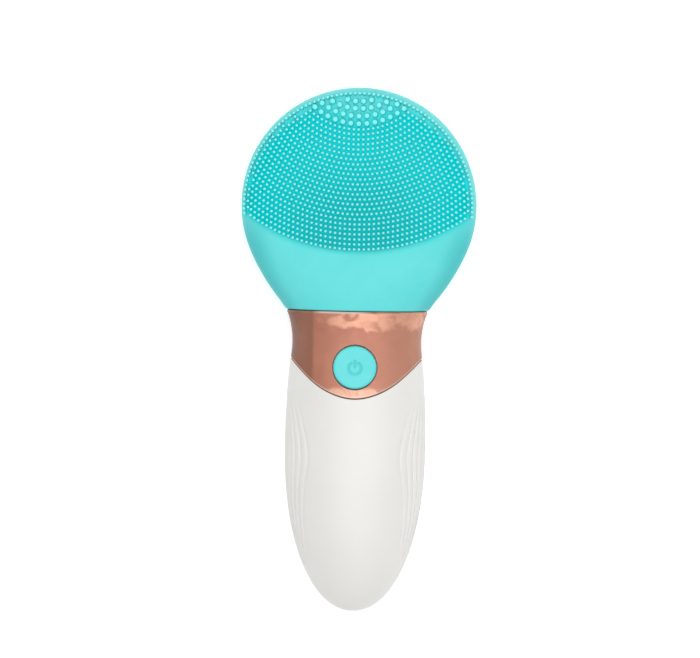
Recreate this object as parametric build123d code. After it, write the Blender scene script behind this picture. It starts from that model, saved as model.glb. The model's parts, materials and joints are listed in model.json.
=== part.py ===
from build123d import *

import os
from functools import cache
from math import copysign, cos, pi, radians, sin

# Facial cleansing brush: an egg-shaped handle, a waisted plated collar with a push button,
# and a round silicone head whose front carries a field of fine bristles.
# Millimetres. The brush lies on its back: +Z is up, out of the bristles, and +Y runs along the
# handle towards the head. The origin is on the surface it lies on, under its middle.
# Inside the functions, z is measured from the middle plane, which is the height MID_Z.

# ---------------------------------------------------------------- driving dimensions
LENGTH = 160.0
HEAD_RADIUS = 35.9
BELLY_RADIUS = 21.55  # half the handle's greatest width
BACK_DEPTH = 15.1  # from the middle plane to the back, at the belly and at the head
BELLY_FRONT_DEPTH = 15.1
HEAD_FRONT_DEPTH = 13.5
REST_FLAT = 0.4  # how much the back is flattened where it rests
MID_Z = BACK_DEPTH - REST_FLAT

TIP_Y = -LENGTH / 2
TOP_Y = LENGTH / 2
HEAD_Y = TOP_Y - HEAD_RADIUS
BELLY_Y = -30.0

# Half-width of the waist, as (half-width, y) from the belly to the middle of the head.
WAIST_SIDE = [
    (BELLY_RADIUS, BELLY_Y),
    (21.2, -16.0),
    (20.4, -5.0),
    (19.7, 2.5),
    (20.25, 7.5),
    (21.8, 12.0),
    (25.3, 16.8),
    (29.05, 22.3),
    (32.15, 28.0),
    (34.9, 35.5),
    (HEAD_RADIUS, HEAD_Y),
]
# Depth of the waist in front of the middle plane, and behind it.
WAIST_FRONT = [
    (BELLY_FRONT_DEPTH, BELLY_Y),
    (14.3, -12.0),
    (13.6, 2.5),
    (14.0, 12.0),
    (14.4, 21.0),
    (14.0, 32.0),
    (HEAD_FRONT_DEPTH, HEAD_Y),
]
WAIST_BACK = [
    (BACK_DEPTH, BELLY_Y),
    (14.3, -12.0),
    (13.6, 2.5),
    (14.0, 12.0),
    (14.7, 26.0),
    (BACK_DEPTH, HEAD_Y),
]
# Superellipse powers: the handle's end, and the head seen from above and in section.
TIP_POWER = 2.1
HEAD_POWER = {"side": 2.0, "front": 3.0, "back": 2.4}

# Lower edge of the collar, a U on the front and on the back: points at x and y.
COLLAR_EDGE = [(0.0, -14.6), (6.8, -13.2), (12.8, -9.8), (19.9, -3.0), (26.0, 3.4)]
COLLAR_TOP_Y = 12.0  # where the collar meets the silicone head cover
SEAM = 0.12
COLLAR_WALL = 1.0
COVER_WALL = 1.8
HANDLE_WALL = 2.0
FRAME_WALL = 1.8
SLIP = 0.1  # gap between parts that slide together

# Bristles stand on arcs about a point beyond the head's top.
ARC_CENTRE_Y = 91.0
FIELD_RADIUS = 60.3  # outside the lowest arc of bristles
FIELD_MARGIN = 0.6  # from the head's outline to the field
FINE_LENGTH = 2.0
THICK_LENGTH = 2.6
PATCH_RADII = (13.2, 22.4)  # the patch of thick bristles, about the arcs' centre
PATCH_RIM_GAP = 2.6

# Neck tube of the inner frame, an ellipse in section.
TUBE_A = 16.4
TUBE_B = 9.8
TUBE_WALL = 1.5
TUBE_BOTTOM_Y = -25.0
BULKHEAD_Y = (12.2, 15.6)
RAIL_TOP = -1.0
O_RING_Y = (-20.0, -19.0)
O_RING_DEPTH = 0.8
GROMMET_RADIUS = 2.4

# Power button and the switch under it.
BUTTON_Y = -5.0
BUTTON_RADIUS = 6.6
BUTTON_TOP = 14.4
BUTTON_RIM = 12.0
BUTTON_HOLE = 6.8
POCKET_FLOOR = 11.0
EAR_HALF_WIDTH = 2.5
EAR_REACH = 7.5
STEM_RADIUS = 2.0
STEM_HOLE = 2.6
SWITCH_HALF = 3.0
SWITCH_TOP = 6.4
PLUNGER_RADIUS = 1.7
PLUNGER_Z = (5.6, 7.6)
PRESS_GAP = 0.03  # between the button's stem and the switch's plunger
RUN_CLEARANCE = 0.05

# Circuit board.
BOARD_Z = (2.0, 3.0)
BOARD_Y = (-24.0, 8.0)
BOARD_HALF_WIDTH = 12.5
BOARD_SCREW_X = 10.0
BOARD_SCREW_Y = (-15.0, 5.0)

# Motor, its axis along Y.
MOTOR_Z = -0.6
CAN_RADIUS = 7.5
CAN_WALL = 0.6
CAN_Y = (27.0, 46.0)
END_CAP_THICKNESS = 1.5
BUSH_RADIUS = 2.0
SHAFT_RADIUS = 1.0
SHAFT_Y = (26.2, 57.0)
SHAFT_CLEARANCE = 0.03
MAGNET_RADII = (5.6, 6.9)
MAGNET_Y = (32.5, 42.5)
ARMATURE_RADIUS = 5.2
ARMATURE_Y = (33.0, 42.0)
WINDING_Y = (31.8, 43.2)
COMMUTATOR_Y = (28.8, 31.4)
WEIGHT_RADIUS = 7.0
WEIGHT_Y = (48.5, 56.0)
SLEEVE_RADIUS = 8.7
SLEEVE_Y = (28.5, 44.5)
SADDLES_Y = [(30.0, 32.5), (40.5, 43.0)]
CLAMP_Y = (33.4, 39.6)
CLAMP_RADIUS = 9.6
CLAMP_SCREW_X = 12.4

# Battery and its carrier.
CELL_RADIUS = 7.0
CELL_Y = (-67.5, -27.5)
CRADLE_RADII = (7.1, 8.3)
CARRIER_PLATE_HALF = 13.4
CARRIER_PLATE_Z = (-1.0, 0.4)

# Charging pad in the handle's back.
CHARGE_Y = -37.0
PAD_HALF_WIDTH = 3.5
PAD_LENGTH = 15.0
PAD_Z = (-14.2, -11.6)
PIN_RADIUS = 1.2
PIN_OFFSETS = (-2.0, 2.0)
PIN_TOP = -10.9
MAGNET_OFFSETS = (-5.3, 5.3)

LEAD_RADIUS = 0.5
SCREW_RADIUS = 1.0
FRAME_SCREWS = [(-22.0, 29.5), (22.0, 29.5), (-20.0, 61.0), (20.0, 61.0)]


# ---------------------------------------------------------------- the outer shape
def value_on(curve, y):
    """The X of a curve at height y, for a curve whose Y always rises."""
    low = 0.0
    high = 1.0
    for _ in range(40):
        middle = (low + high) / 2
        if (curve @ middle).Y < y:
            low = middle
        else:
            high = middle
    return (curve @ low).X


WAIST = {
    name: Spline(*points, tangents=((0, 1), (0, 1)))
    for name, points in (("side", WAIST_SIDE), ("front", WAIST_FRONT), ("back", WAIST_BACK))
}
BELLY = {"side": BELLY_RADIUS, "front": BELLY_FRONT_DEPTH, "back": BACK_DEPTH}
HEAD = {"side": HEAD_RADIUS, "front": HEAD_FRONT_DEPTH, "back": BACK_DEPTH}


def superellipse(share, power):
    return max(0.0, 1 - abs(share) ** power) ** (1 / power)


def reach(name, y, inset):
    """Half-width or depth of the body at y, for a surface inset below the outside."""
    if y < BELLY_Y:
        share = (BELLY_Y - y) / (BELLY_Y - TIP_Y - inset)
        return (BELLY[name] - inset) * superellipse(share, TIP_POWER)
    if y > HEAD_Y:
        share = (y - HEAD_Y) / (HEAD_RADIUS - inset)
        return (HEAD[name] - inset) * superellipse(share, HEAD_POWER[name])
    return value_on(WAIST[name], y) - inset


def section(y, inset, count):
    """The body's cross-section at y: elliptical below the collar, squarer at the head."""
    half_width = reach("side", y, inset)
    squareness = min(1.0, max(0.0, (y - COLLAR_TOP_Y) / (HEAD_Y - COLLAR_TOP_Y)))
    points = []
    for i in range(count):
        c = cos(2 * pi * i / count)
        s = sin(2 * pi * i / count)
        face = "front" if s > 0 else "back"
        power = 2.0 + (HEAD_POWER[face] - 2.0) * squareness
        x = half_width * copysign(abs(c) ** (2 / power), c)
        z = reach(face, y, inset) * copysign(abs(s) ** (2 / power), s)
        points.append((x, y, MID_Z + z))
    return make_face(Spline(*points, periodic=True))


def stations(inset):
    """Where the cross-sections are taken: close together at both ends, and fewer inside."""
    tip_angles = (87, 80, 72, 63, 53, 42, 30, 15)
    top_angles = (0, 12, 24, 35, 46, 56, 65, 73, 80, 86.5)
    if inset > 0:
        tip_angles = (86, 72, 53, 30)
        top_angles = (0, 26, 48, 67, 82)
    tip = [BELLY_Y - (BELLY_Y - TIP_Y - inset) * sin(radians(a)) for a in tip_angles]
    waist = [BELLY_Y, -22.0, -14.0, -7.0, -1.5, 2.5, 6.0, 9.0, 12.0, 15.0, 19.0, 24.0, 30.0, 37.0]
    top = [HEAD_Y + (HEAD_RADIUS - inset) * sin(radians(a)) for a in top_angles]
    return tip + waist + top


@cache
def body(inset=0.0):
    """The whole brush as one solid, its surface inset below the outside."""
    tip = Vertex(0, TIP_Y + inset, MID_Z)
    top = Vertex(0, TOP_Y - inset, MID_Z)
    count = 16 if inset > 0 else 24
    whole = loft([tip] + [section(y, inset, count) for y in stations(inset)] + [top])
    return Part() + whole


# ---------------------------------------------------------------- simple shapes
def block(x, y, z):
    """A box from three (low, high) pairs."""
    centre = ((x[0] + x[1]) / 2, (y[0] + y[1]) / 2, MID_Z + (z[0] + z[1]) / 2)
    return Pos(*centre) * Box(x[1] - x[0], y[1] - y[0], z[1] - z[0])


def slab(y_low, y_high):
    """Everything between two places along the brush."""
    return block((-60, 60), (y_low, y_high), (-60, 60))


def bar(radius, y, x=0.0, z=0.0):
    """A round bar along Y."""
    turned = Rot(90, 0, 0) * Cylinder(radius, y[1] - y[0])
    return Pos(x, (y[0] + y[1]) / 2, MID_Z + z) * turned


def ring(outer, inner, y, x=0.0, z=0.0):
    return bar(outer, y, x, z) - bar(inner, y, x, z)


def oval(a, b, y):
    """An elliptical bar along Y, on the middle plane."""
    outline = Pos(0, y[0], MID_Z) * Rot(90, 0, 0) * Ellipse(a, b)
    return extrude(outline, y[1] - y[0], dir=(0, 1, 0))


def post(x, y, radius, z):
    """A round bar along Z."""
    return Pos(x, y, MID_Z + (z[0] + z[1]) / 2) * Cylinder(radius, z[1] - z[0])


def stadium(half_width, length, z):
    """A long rounded plug along Z, lengthways along Y, at the charging pad."""
    outline = Pos(0, CHARGE_Y) * Rot(0, 0, 90) * SlotOverall(length, 2 * half_width)
    return Pos(0, 0, MID_Z + z[0]) * extrude(outline, z[1] - z[0])


def lead(points, corner=1.6):
    """A wire through the points, with rounded corners."""
    raised = [(x, y, MID_Z + z) for x, y, z in points]
    path = FilletPolyline(*raised, radius=corner) if len(points) > 2 else Line(*raised)
    start = Plane(origin=path @ 0, z_dir=path % 0)
    return sweep(start * Circle(LEAD_RADIUS), path=path)


def above_collar_edge(shift):
    """Everything above the collar's lower edge, moved along the brush by shift."""
    right = [(x, y + shift) for x, y in COLLAR_EDGE]
    left = [(-x, y) for x, y in reversed(right[1:])]
    edge = Spline(*left, *right)
    x, y = right[-1]
    wide = 60
    rest = Polyline((x, y), (wide, y), (wide, 100), (-wide, 100), (-wide, y), (-x, y))
    return Pos(0, 0, MID_Z - 60) * extrude(make_face([edge, rest]), 120)


OUTSIDE = body() & block((-60, 60), (-100, 100), (-MID_Z, 60))


# ---------------------------------------------------------------- outer parts
def field_outline(margin):
    head_disc = Pos(0, HEAD_Y) * Circle(HEAD_RADIUS - margin)
    return head_disc & (Pos(0, ARC_CENTRE_Y) * Circle(FIELD_RADIUS))


def raised_pad(outline, height):
    """The head's front lifted by height, inside an outline, down to the middle of its wall."""
    lifted = Pos(0, 0, height) * OUTSIDE
    prism = Pos(0, 0, MID_Z + height) * extrude(outline, 40)
    return (lifted & prism) - body(COVER_WALL / 2)


def silicone_head_cover():
    """A thin skin over the head, with the bristle field as one raised pad at the tips."""
    skin = (OUTSIDE & slab(COLLAR_TOP_Y + SEAM / 2, 100)) - body(COVER_WALL)
    fine = raised_pad(field_outline(FIELD_MARGIN), FINE_LENGTH)
    patch = Pos(0, ARC_CENTRE_Y) * (Circle(PATCH_RADII[1]) - Circle(PATCH_RADII[0]))
    thick = raised_pad(patch & field_outline(PATCH_RIM_GAP), THICK_LENGTH)
    return skin + fine + thick


def button_well(radius):
    return post(0, BUTTON_Y, radius, (POCKET_FLOOR, 30))


def collar_ring():
    """The plated collar, with a tongue down the front and one down the back."""
    band = OUTSIDE & above_collar_edge(SEAM / 2) & slab(-40, COLLAR_TOP_Y - SEAM / 2)
    return band - body(COLLAR_WALL) - button_well(BUTTON_HOLE)


def ear_pocket(room):
    """Space in the handle's neck for the button's two ears."""
    return block(
        (-EAR_HALF_WIDTH - room, EAR_HALF_WIDTH + room),
        (BUTTON_Y - EAR_REACH - room, BUTTON_Y + EAR_REACH + room),
        (POCKET_FLOOR, 20),
    )


def handle_shell():
    """One moulding: the grip, and a neck that the collar slides over."""
    grip = OUTSIDE - above_collar_edge(-SEAM / 2)
    neck = body(COLLAR_WALL + SLIP) & slab(-30, COLLAR_TOP_Y - 2 * SLIP)
    cavity = body(HANDLE_WALL) & slab(-100, TUBE_BOTTOM_Y + 2)
    bore = oval(TUBE_A + SLIP, TUBE_B + SLIP, (-30, 20))
    pad_seat = stadium(PAD_HALF_WIDTH + 1.6, PAD_LENGTH + 3.2, (-13.6, PAD_Z[1]))
    shell = (grip + neck) - cavity - bore + pad_seat
    shell = shell - stadium(PAD_HALF_WIDTH, PAD_LENGTH, (-20, -5))
    shell = shell - button_well(BUTTON_HOLE) - ear_pocket(0.3)
    return shell - post(0, BUTTON_Y, STEM_HOLE, (0, 20))


def power_button():
    """A soft cap with a stem, and two ears that hold it under the collar."""
    cap = post(0, BUTTON_Y, BUTTON_RADIUS, (BUTTON_RIM, BUTTON_TOP))
    cap = fillet(cap.edges().sort_by(Axis.Z)[-1], 0.8)
    cap = cap - post(0, BUTTON_Y, BUTTON_RADIUS - 0.9, (BUTTON_RIM - 1, BUTTON_TOP - 1.2))
    ears = block(
        (-EAR_HALF_WIDTH, EAR_HALF_WIDTH),
        (BUTTON_Y - EAR_REACH, BUTTON_Y + EAR_REACH),
        (BUTTON_RIM - 0.4, BUTTON_RIM + 0.1),
    )
    ears = ears - post(0, BUTTON_Y, BUTTON_RADIUS - 0.9, (0, 20))
    stem = post(0, BUTTON_Y, STEM_RADIUS, (PLUNGER_Z[1] + PRESS_GAP, BUTTON_TOP - 1.0))
    return cap + ears + stem


def button_seal():
    """A flat silicone washer on the floor of the button's pocket."""
    height = (POCKET_FLOOR, POCKET_FLOOR + 0.4)
    return post(0, BUTTON_Y, BUTTON_RADIUS - 1.3, height) - post(0, BUTTON_Y, STEM_HOLE, height)


# ---------------------------------------------------------------- inner frame of the head
def frame_half(low, high):
    """Half of the hard shell under the silicone cover."""
    inset = COVER_WALL + SLIP
    shell = body(inset) - body(inset + FRAME_WALL)
    return shell & block((-60, 60), (BULKHEAD_Y[0], 100), (low, high))


def screw_bosses(z, radius):
    bosses = Part()
    for x, y in FRAME_SCREWS:
        bosses += post(x, y, radius, z)
    return bosses


def neck_tube():
    """The elliptical tube that slides into the handle, with two rails for the carrier."""
    span = (TUBE_BOTTOM_Y, BULKHEAD_Y[0] + 1)
    hollow = oval(TUBE_A - TUBE_WALL, TUBE_B - TUBE_WALL, (span[0] - 1, BULKHEAD_Y[0]))
    tube = oval(TUBE_A, TUBE_B, span) - hollow
    for side in (-1, 1):
        x = sorted((side * 11.5, side * 15.6))
        tube += block(x, (TUBE_BOTTOM_Y, BULKHEAD_Y[0] + 1), (RAIL_TOP - 1.6, RAIL_TOP))
    groove = slab(*O_RING_Y) - oval(TUBE_A - O_RING_DEPTH, TUBE_B - O_RING_DEPTH, (-30, 0))
    tube = tube - groove
    return tube - post(0, BUTTON_Y, STEM_HOLE, (0, 20))


def motor_saddles():
    saddles = Part()
    for y in SADDLES_Y:
        saddles += block((-11, 11), y, (-14, MOTOR_Z))
    for side in (-1, 1):
        saddles += post(side * CLAMP_SCREW_X, sum(CLAMP_Y) / 2, 2.4, (-14, MOTOR_Z))
    return saddles - bar(SLEEVE_RADIUS, (20, 50), z=MOTOR_Z)


def head_frame_rear():
    inset = COVER_WALL + SLIP
    bulkhead = body(inset) & slab(*BULKHEAD_Y)
    inner = (screw_bosses((-16, 0), 3.0) + motor_saddles()) & body(inset)
    frame = frame_half(-60, 0) + bulkhead + neck_tube() + inner
    frame = frame - bar(GROMMET_RADIUS, (10, 18), z=BOARD_Z[1] + LEAD_RADIUS)
    frame = frame - screw_bosses((-30, -5.5), 2.1) - screw_bosses((-30, 1), 1.15)
    for side in (-1, 1):
        x = side * CLAMP_SCREW_X
        frame = frame - post(x, sum(CLAMP_Y) / 2, SCREW_RADIUS, (MOTOR_Z - 5, 1))
        frame = frame - post(x, BOARD_SCREW_Y[0] - 4, SCREW_RADIUS * 0.8, (-3, 0))
    return frame


def head_frame_front():
    bosses = screw_bosses((0, 16), 3.0) & body(COVER_WALL + SLIP)
    above = frame_half(0, 60) & slab(BULKHEAD_Y[1], 100)
    return above + bosses - screw_bosses((-1, 5), SCREW_RADIUS)


def pan_screw(x, y, z_head, head_height, z_tip, head_radius=1.9, radius=SCREW_RADIUS):
    """A screw along Z whose head sits at z_head, above or below its shank."""
    up = 1 if z_head > z_tip else -1
    head_span = sorted((z_head, z_head + up * head_height))
    head = post(x, y, head_radius, head_span)
    slot_span = sorted((z_head + up * head_height * 0.4, z_head + up * (head_height + 1)))
    cross = Part()
    for w, d in ((0.4, 1.3), (1.3, 0.4)):
        cross += block((x - w / 2, x + w / 2), (y - d / 2, y + d / 2), slot_span)
    return (head - cross) + post(x, y, radius, sorted((z_head, z_tip)))


def frame_screws():
    screws = [pan_screw(x, y, -5.5, 1.6, 4.5) for x, y in FRAME_SCREWS]
    return Compound(screws)


def neck_o_ring():
    outer = oval(TUBE_A + SLIP, TUBE_B + SLIP, O_RING_Y)
    return outer - oval(TUBE_A - O_RING_DEPTH, TUBE_B - O_RING_DEPTH, O_RING_Y)


def lead_grommet():
    """A rubber plug in the bulkhead, with two holes for the motor's leads."""
    z = BOARD_Z[1] + LEAD_RADIUS
    plug = bar(GROMMET_RADIUS, BULKHEAD_Y, z=z)
    plug += bar(GROMMET_RADIUS + 0.8, (BULKHEAD_Y[1], BULKHEAD_Y[1] + 0.8), z=z)
    for x in (-0.9, 0.9):
        plug = plug - bar(LEAD_RADIUS, (10, 20), x, z)
    return plug


# ---------------------------------------------------------------- motor
def motor_can():
    can = bar(CAN_RADIUS, CAN_Y, z=MOTOR_Z)
    can = can - bar(CAN_RADIUS - CAN_WALL, (CAN_Y[0] - 1, CAN_Y[1] - 0.8), z=MOTOR_Z)
    return can - bar(BUSH_RADIUS, (CAN_Y[1] - 2, CAN_Y[1] + 1), z=MOTOR_Z)


def motor_end_cap():
    y = (CAN_Y[0], CAN_Y[0] + END_CAP_THICKNESS)
    return ring(CAN_RADIUS - CAN_WALL, BUSH_RADIUS, y, z=MOTOR_Z)


def motor_bushes():
    """Two sintered bushes, one in the end cap and one in the can's closed end."""
    bore = SHAFT_RADIUS + SHAFT_CLEARANCE
    rear = ring(BUSH_RADIUS, bore, (CAN_Y[0] - 0.5, CAN_Y[0] + END_CAP_THICKNESS), z=MOTOR_Z)
    front = ring(BUSH_RADIUS, bore, (CAN_Y[1] - 2.0, CAN_Y[1] + 1.4), z=MOTOR_Z)
    return Compound([rear, front])


def motor_magnets():
    """Two arc magnets inside the can, above and below the armature."""
    hoop = ring(MAGNET_RADII[1], MAGNET_RADII[0], MAGNET_Y, z=MOTOR_Z)
    upper = hoop & block((-10, 10), MAGNET_Y, (MOTOR_Z + 2.2, 20))
    lower = hoop & block((-10, 10), MAGNET_Y, (-20, MOTOR_Z - 2.2))
    return Compound([upper, lower])


def motor_brushes():
    """Two spring fingers, their tails out through the end cap as terminals."""
    fingers = []
    for side in (-1, 1):
        arm_x = sorted((side * 2.2, side * 2.6))
        tail_x = sorted((side * 2.2, side * 3.4))
        y_low = CAN_Y[0] + END_CAP_THICKNESS
        arm = block(arm_x, (y_low, COMMUTATOR_Y[1]), (MOTOR_Z - 1, MOTOR_Z + 1))
        foot = block(tail_x, (y_low, y_low + 0.3), (MOTOR_Z - 1, MOTOR_Z + 1))
        fingers.append(arm + foot)
    return Compound(fingers)


def motor_terminals():
    tabs = []
    for side in (-1, 1):
        x = (side * 3.0 - 0.9, side * 3.0 + 0.9)
        tabs.append(block(x, (CAN_Y[0] - 1.6, CAN_Y[0]), (MOTOR_Z - 0.5, MOTOR_Z - 0.1)))
    return Compound(tabs)


def motor_shaft():
    return bar(SHAFT_RADIUS, SHAFT_Y, z=MOTOR_Z)


def slot_cutters(y, width, inner):
    """Three radial cutters between the armature's teeth."""
    cutters = Part()
    for turn in (30, 150, 270):
        cutter = Pos(0, 0, 10) * Box(width, y[1] - y[0] + 2, 20 - 2 * inner)
        placed = Rot(0, turn, 0) * cutter
        cutters += Pos(0, sum(y) / 2, MID_Z + MOTOR_Z) * placed
    return cutters


def armature_core():
    core = ring(ARMATURE_RADIUS, SHAFT_RADIUS, ARMATURE_Y, z=MOTOR_Z)
    wide = ring(4.1, 2.4, (ARMATURE_Y[0] - 1, ARMATURE_Y[1] + 1), z=MOTOR_Z)
    teeth = Part()
    for turn in (90, 210, 330):
        tooth = Rot(0, turn, 0) * Pos(0, 0, 4) * Box(2.2, 30, 8)
        teeth += Pos(0, sum(ARMATURE_Y) / 2, MID_Z + MOTOR_Z) * tooth
    core = core - (wide - teeth)
    return core - slot_cutters(ARMATURE_Y, 0.9, 1.6)


def armature_windings():
    """Three copper coils, one round each tooth."""
    coils = []
    for turn in (90, 210, 330):
        coil = Pos(0, 0, 3.2) * Box(4.6, WINDING_Y[1] - WINDING_Y[0], 1.4)
        coil = coil - Pos(0, 0, 3.2) * Box(2.3, ARMATURE_Y[1] - ARMATURE_Y[0] + 0.1, 3)
        placed = Pos(0, sum(WINDING_Y) / 2, MID_Z + MOTOR_Z) * Rot(0, turn, 0) * coil
        coils.append(placed - armature_core())
    return Compound(coils)


def commutator():
    drum = ring(2.0, SHAFT_RADIUS, COMMUTATOR_Y, z=MOTOR_Z)
    grooves = Part()
    for turn in (0, 120, 240):
        groove = Rot(0, turn, 0) * Pos(0, 0, 1.9) * Box(0.3, 10, 0.5)
        grooves += Pos(0, sum(COMMUTATOR_Y) / 2, MID_Z + MOTOR_Z) * groove
    return drum - grooves


def eccentric_weight():
    """Half a heavy disc on a hub; it hangs below the shaft."""
    disc = bar(WEIGHT_RADIUS, WEIGHT_Y, z=MOTOR_Z)
    half = disc & block((-20, 20), WEIGHT_Y, (-20, MOTOR_Z))
    hub = bar(2.6, WEIGHT_Y, z=MOTOR_Z)
    return half + hub - bar(SHAFT_RADIUS, (40, 60), z=MOTOR_Z)


def motor_sleeve():
    """Rubber between the motor and its saddles."""
    return bar(SLEEVE_RADIUS, SLEEVE_Y, z=MOTOR_Z) - bar(CAN_RADIUS, (20, 50), z=MOTOR_Z)


def motor_clamp():
    """A strap over the sleeve, with two screwed feet."""
    y = CLAMP_Y
    strap = bar(CLAMP_RADIUS, y, z=MOTOR_Z)
    feet = block((-15, 15), y, (MOTOR_Z, MOTOR_Z + 1.2))
    clamp = (strap + feet) & block((-20, 20), y, (MOTOR_Z, 20))
    clamp = clamp - bar(SLEEVE_RADIUS, (20, 50), z=MOTOR_Z)
    for side in (-1, 1):
        clamp = clamp - post(side * CLAMP_SCREW_X, sum(y) / 2, 1.15, (-5, 5))
    return clamp


def clamp_screws():
    z = MOTOR_Z + 1.2
    y = sum(CLAMP_Y) / 2
    return Compound([pan_screw(s * CLAMP_SCREW_X, y, z, 1.3, z - 5.2) for s in (-1, 1)])


# ---------------------------------------------------------------- battery, board and charging
def battery_carrier():
    """A plate that slides into the neck tube, and a cradle under the battery."""
    plate = block(
        (-CARRIER_PLATE_HALF, CARRIER_PLATE_HALF),
        (TUBE_BOTTOM_Y + 0.5, BULKHEAD_Y[0] - 2),
        CARRIER_PLATE_Z,
    )
    end_wall = bar(CRADLE_RADII[1], (CELL_Y[1], CELL_Y[1] + 1.5)) & block(
        (-9, 9), (-30, -20), (-20, 2.4)
    )
    bridge = block((-7, 7), (CELL_Y[1] + 1, TUBE_BOTTOM_Y + 1), CARRIER_PLATE_Z)
    cradle = ring(CRADLE_RADII[1], CRADLE_RADII[0], (-66.0, CELL_Y[1] + 1))
    cradle = cradle & block((-20, 20), (-80, -20), (-20, -1.5))
    foot = bar(6.2, (CELL_Y[0] - 2.8, CELL_Y[0] - 1.6)) & block((-9, 9), (-75, -60), (-20, 2.4))
    runner = block((-3, 3), (CELL_Y[0] - 2.8, -60.0), (-CRADLE_RADII[1], -CRADLE_RADII[0]))
    runner = runner & body(HANDLE_WALL + 0.2)
    link = block((-3, 3), (CELL_Y[0] - 2.8, CELL_Y[0] - 1.6), (-7.6, -5))
    carrier = plate + end_wall + bridge + cradle + foot + runner + (link & body(HANDLE_WALL + 0.2))
    for x in (-BOARD_SCREW_X, BOARD_SCREW_X):
        for y in BOARD_SCREW_Y:
            carrier += post(x, y, 1.8, (CARRIER_PLATE_Z[0], BOARD_Z[0]))
            carrier = carrier - post(x, y, 0.8, (-0.6, 5))
        for side in (-1, 1):
            carrier = carrier - post(side * CLAMP_SCREW_X, BOARD_SCREW_Y[0] - 4, 0.95, (-3, 3))
    return carrier


def carrier_screws():
    z = CARRIER_PLATE_Z[1]
    y = BOARD_SCREW_Y[0] - 4
    screws = [
        pan_screw(s * CLAMP_SCREW_X, y, z, 0.9, -2.9, head_radius=1.5, radius=0.8) for s in (-1, 1)
    ]
    return Compound(screws)


def battery_cell():
    can = bar(CELL_RADIUS, CELL_Y)
    return fillet(can.edges().filter_by(GeomType.CIRCLE), 0.5)


def battery_foam_pad():
    return bar(5.6, (CELL_Y[0] - 1.6, CELL_Y[0]))


def circuit_board():
    board = block((-BOARD_HALF_WIDTH, BOARD_HALF_WIDTH), BOARD_Y, BOARD_Z)
    for x in (-BOARD_SCREW_X, BOARD_SCREW_X):
        for y in BOARD_SCREW_Y:
            board = board - post(x, y, 0.95, (0, 5))
    return board


def board_screws():
    screws = []
    for x in (-BOARD_SCREW_X, BOARD_SCREW_X):
        for y in BOARD_SCREW_Y:
            screws.append(pan_screw(x, y, BOARD_Z[1], 0.8, -0.5, head_radius=1.5, radius=0.8))
    return Compound(screws)


def switch_body():
    box = block(
        (-SWITCH_HALF, SWITCH_HALF),
        (BUTTON_Y - SWITCH_HALF, BUTTON_Y + SWITCH_HALF),
        (BOARD_Z[1], SWITCH_TOP),
    )
    return box - post(0, BUTTON_Y, PLUNGER_RADIUS + RUN_CLEARANCE, (PLUNGER_Z[0] - 0.6, 10))


def switch_plunger():
    return post(0, BUTTON_Y, PLUNGER_RADIUS, PLUNGER_Z)


def board_parts(places, size, height):
    parts = []
    for x, y in places:
        x_span = (x - size[0] / 2, x + size[0] / 2)
        y_span = (y - size[1] / 2, y + size[1] / 2)
        parts.append(block(x_span, y_span, (BOARD_Z[1], BOARD_Z[1] + height)))
    return Compound(parts)


def control_chip():
    return board_parts([(0, 3.0)], (5.0, 4.0), 1.2)


def charge_chip():
    return board_parts([(-5.5, -18.5)], (3.0, 3.0), 1.0)


def board_capacitors():
    return board_parts([(6, -8), (6, -10.5), (-6, -8), (-6, 0)], (1.6, 0.8), 0.8)


def indicator_led():
    return board_parts([(0, -11.0)], (2.0, 1.2), 0.7)


def motor_leads():
    z = BOARD_Z[1] + LEAD_RADIUS
    wires = []
    for side in (-1, 1):
        start = (side * 3.0, CAN_Y[0] - 0.4, MOTOR_Z + LEAD_RADIUS - 0.1)
        bend = (side * 3.0, CAN_Y[0] - 4.0, MOTOR_Z + LEAD_RADIUS - 0.1)
        wires.append(lead([start, bend, (side * 0.9, 19.0, z), (side * 0.9, 6.5, z)], 1.5))
    return Compound(wires)


def battery_leads():
    z = BOARD_Z[1] + LEAD_RADIUS
    return Compound([lead([(s * 3.5, CELL_Y[1], z), (s * 3.5, -19.0, z)]) for s in (-1, 1)])


def charging_pad():
    """A hard plug flush in a shallow recess of the handle's back."""
    pad = stadium(PAD_HALF_WIDTH, PAD_LENGTH, PAD_Z)
    for offset in PIN_OFFSETS:
        pad = pad - post(0, CHARGE_Y + offset, PIN_RADIUS, (-20, 0))
    for offset in MAGNET_OFFSETS:
        pad = pad - post(0, CHARGE_Y + offset, 1.6, (PAD_Z[0] + 0.8, 0))
    return pad


def charging_pins():
    pins = [post(0, CHARGE_Y + d, PIN_RADIUS, (PAD_Z[0], PIN_TOP)) for d in PIN_OFFSETS]
    return Compound(pins)


def charging_magnets():
    z = (PAD_Z[0] + 0.8, PAD_Z[1])
    return Compound([post(0, CHARGE_Y + d, 1.6, z) for d in MAGNET_OFFSETS])


def charge_leads():
    """From each pin, out round the battery and up on to the board."""
    wires = []
    z = BOARD_Z[1] + LEAD_RADIUS
    for side, offset in ((-1, PIN_OFFSETS[0]), (1, PIN_OFFSETS[1])):
        y = CHARGE_Y + offset
        start_z = PIN_TOP + LEAD_RADIUS
        route = [
            (0, y, start_z),
            (side * 9.6, y, start_z + 1.0),
            (side * 11.3, -31.0, -3.5),
            (side * 11.3, -28.2, z),
            (side * 11.3, -20.5, z),
        ]
        wires.append(lead(route, 1.6))
    return Compound(wires)


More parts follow.
